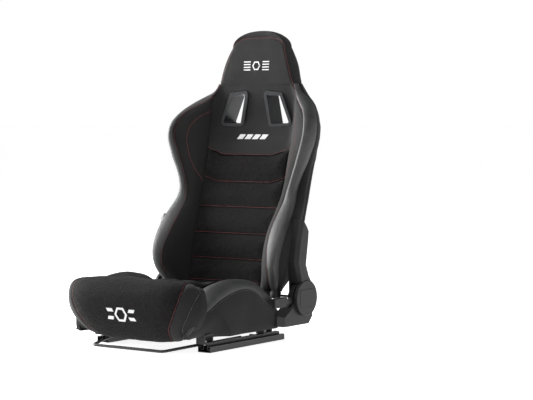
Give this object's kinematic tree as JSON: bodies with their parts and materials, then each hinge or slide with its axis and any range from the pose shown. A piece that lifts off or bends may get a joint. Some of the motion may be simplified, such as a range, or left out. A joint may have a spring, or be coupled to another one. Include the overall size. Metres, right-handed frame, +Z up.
{
  "type": "reclining sports seat",
  "caption": "Reclining bucket-style motorsport seat with harness openings, side recliner lever and latched floor slide rails.",
  "frame": {"origin": "centre of the four floor bolt holes, on the floor under the rails", "axes": "+Z up, the occupant faces -Y, +X is the occupant's left, the side with the recline lever"},
  "size_m": [0.5722, 0.7513, 0.97],
  "materials": {
    "rail_steel": "satin black enamel on steel",
    "frame_steel": "semi-gloss black powder coat",
    "bright_steel": "bright zinc plate",
    "zinc_steel": "dull zinc",
    "cage_plastic": "natural nylon",
    "cover_plastic": "fine-grained moulded plastic",
    "bezel_plastic": "satin moulded plastic",
    "knit_fabric": "black sandwich mesh",
    "suede_fabric": "dark grey smooth upholstery cloth",
    "vinyl": "satin black grained vinyl",
    "strap_fabric": "woven elastic webbing"
  },
  "bodies": {
    "floor": {"floor_rail_left": "rail_steel", "floor_rail_right": "rail_steel"},
    "bearings": {"slider_balls": "bright_steel", "ball_cages": "cage_plastic"},
    "base": {"seat_rail_left": "rail_steel", "seat_rail_right": "rail_steel", "seat_feet": "frame_steel", "foot_bolts": "zinc_steel", "seat_frame": "frame_steel", "seat_pan": "frame_steel", "cushion_core": "knit_fabric", "cushion_bolster_left": "vinyl", "cushion_bolster_right": "vinyl", "base_plate_left": "frame_steel", "base_plate_right": "frame_steel", "plate_spacers_left": "zinc_steel", "plate_spacers_right": "zinc_steel", "base_bolts": "zinc_steel", "recliner_fixed_disc_left": "zinc_steel", "recliner_fixed_disc_right": "zinc_steel", "base_cover_left": "cover_plastic", "base_cover_right": "cover_plastic", "latch_pins": "bright_steel", "latch_springs": "bright_steel"},
    "backrest": {"back_frame": "frame_steel", "back_straps": "strap_fabric", "back_pad": "knit_fabric", "head_pad": "suede_fabric", "rear_cover": "suede_fabric", "arm_bolts": "zinc_steel", "back_wing_left": "vinyl", "back_wing_right": "vinyl", "arm_plate_left": "frame_steel", "arm_plate_right": "frame_steel", "recliner_moving_disc_left": "zinc_steel", "recliner_moving_disc_right": "zinc_steel", "return_spring_left": "frame_steel", "return_spring_right": "frame_steel", "arm_cover_left": "cover_plastic", "arm_cover_right": "cover_plastic", "hub_cap_left": "cover_plastic", "hub_cap_right": "cover_plastic", "harness_bezel_left": "bezel_plastic", "harness_bezel_right": "bezel_plastic", "harness_ring_left": "bezel_plastic", "harness_ring_right": "bezel_plastic"},
    "lever": {"cross_shaft": "bright_steel", "lever_arm": "frame_steel", "lever_grip": "cover_plastic"},
    "latch": {"latch_bar": "frame_steel", "latch_plate_left": "zinc_steel", "latch_plate_right": "zinc_steel"}
  },
  "joints": [
    {"name": "seat_slide", "type": "slide", "parent": "floor", "child": "base", "axis": [0, -1, 0], "range_m": [-0.09, 0.09]},
    {"name": "bearing_slide", "type": "slide", "parent": "floor", "child": "bearings", "axis": [0, -1, 0], "range_m": [-0.045, 0.045]},
    {"name": "back_recline", "type": "hinge", "parent": "base", "child": "backrest", "pos_m": [0, 0.22, 0.131], "axis": [-1, 0, 0], "range_deg": [-10, 50]},
    {"name": "recline_lever", "type": "hinge", "parent": "base", "child": "lever", "pos_m": [0, 0.22, 0.131], "axis": [-1, 0, 0], "range_deg": [0, 22], "stiffness_Nm_per_rad": 2, "springref_deg": -20.05},
    {"name": "slide_latch", "type": "hinge", "parent": "base", "child": "latch", "pos_m": [0, 0.075, 0.0223], "axis": [-1, 0, 0], "range_deg": [0, 1.8], "stiffness_Nm_per_rad": 12, "springref_deg": -11.46}
  ],
  "couplings": [
    {"joint": "bearing_slide", "follows": "seat_slide", "ratio": 0.5}
  ]
}
